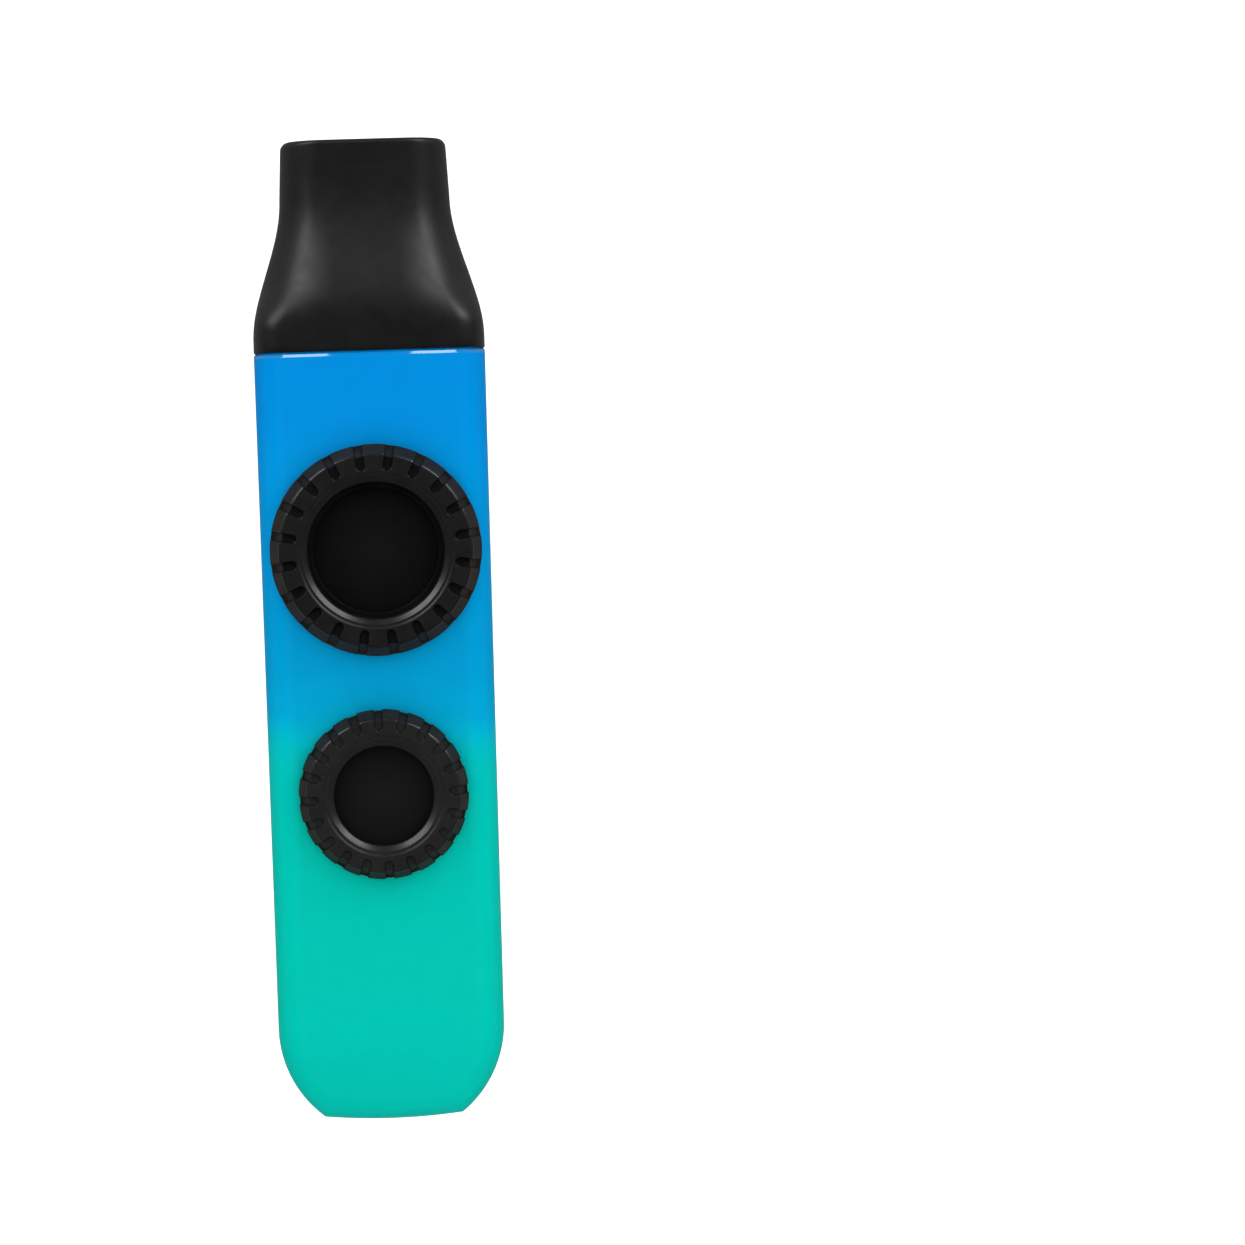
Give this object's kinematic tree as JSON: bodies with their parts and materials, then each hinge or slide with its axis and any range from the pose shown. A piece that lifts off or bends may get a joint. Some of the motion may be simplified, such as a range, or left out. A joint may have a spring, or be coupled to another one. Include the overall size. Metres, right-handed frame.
{
  "type": "kazoo",
  "caption": "Flat hollow kazoo with a pull-off flared mouthpiece, an outlet slot in its far end and two screwed resonators with films on its front.",
  "frame": {"origin": "middle of the kazoo's box, on its flat back", "axes": "+Y from the outlet end to the mouthpiece, +Z out of the front with the two tone rings, +X across"},
  "size_m": [0.0294, 0.125, 0.0233],
  "materials": {
    "body_plastic": "satin moulded plastic, blue at the mouthpiece fading to teal at the outlet",
    "black_plastic": "satin black moulded plastic",
    "ring_plastic": "satin black moulded plastic with a fine grain",
    "hoop_plastic": "plain black moulded plastic",
    "slip_plastic": "smooth grey slip washer",
    "silicone": "soft dark silicone",
    "film": "thin dark film, smooth"
  },
  "bodies": {
    "kazoo": {"body_shell": "body_plastic", "large_collar": "black_plastic", "large_gasket": "silicone", "small_collar": "black_plastic", "small_gasket": "silicone"},
    "mouth_end": {"mouthpiece": "black_plastic", "mouthpiece_seal": "silicone"},
    "large_film_set": {"large_membrane": "film", "large_hoop": "hoop_plastic", "large_washer": "slip_plastic"},
    "large_ring": {"large_tone_ring": "ring_plastic"},
    "small_film_set": {"small_membrane": "film", "small_hoop": "hoop_plastic", "small_washer": "slip_plastic"},
    "small_ring": {"small_tone_ring": "ring_plastic"}
  },
  "joints": [
    {"name": "mouthpiece_pull", "type": "slide", "parent": "kazoo", "child": "mouth_end", "axis": [0, 1, 0], "range_m": [0, 0.014]},
    {"name": "large_film_lift", "type": "slide", "parent": "kazoo", "child": "large_film_set", "axis": [0, 0, 1], "range_m": [0, 0.00225]},
    {"name": "large_ring_turn", "type": "hinge", "parent": "large_film_set", "child": "large_ring", "pos_m": [0, 0.0102, 0.0215], "axis": [0, 0, 1], "range_deg": [0, 540]},
    {"name": "small_film_lift", "type": "slide", "parent": "kazoo", "child": "small_film_set", "axis": [0, 0, 1], "range_m": [0, 0.00225]},
    {"name": "small_ring_turn", "type": "hinge", "parent": "small_film_set", "child": "small_ring", "pos_m": [0, -0.0207, 0.0215], "axis": [0, 0, 1], "range_deg": [0, 540]}
  ],
  "couplings": [
    {"joint": "large_ring_turn", "follows": "large_film_lift", "rad_per_m": 4188.8},
    {"joint": "small_ring_turn", "follows": "small_film_lift", "rad_per_m": 4188.8}
  ]
}
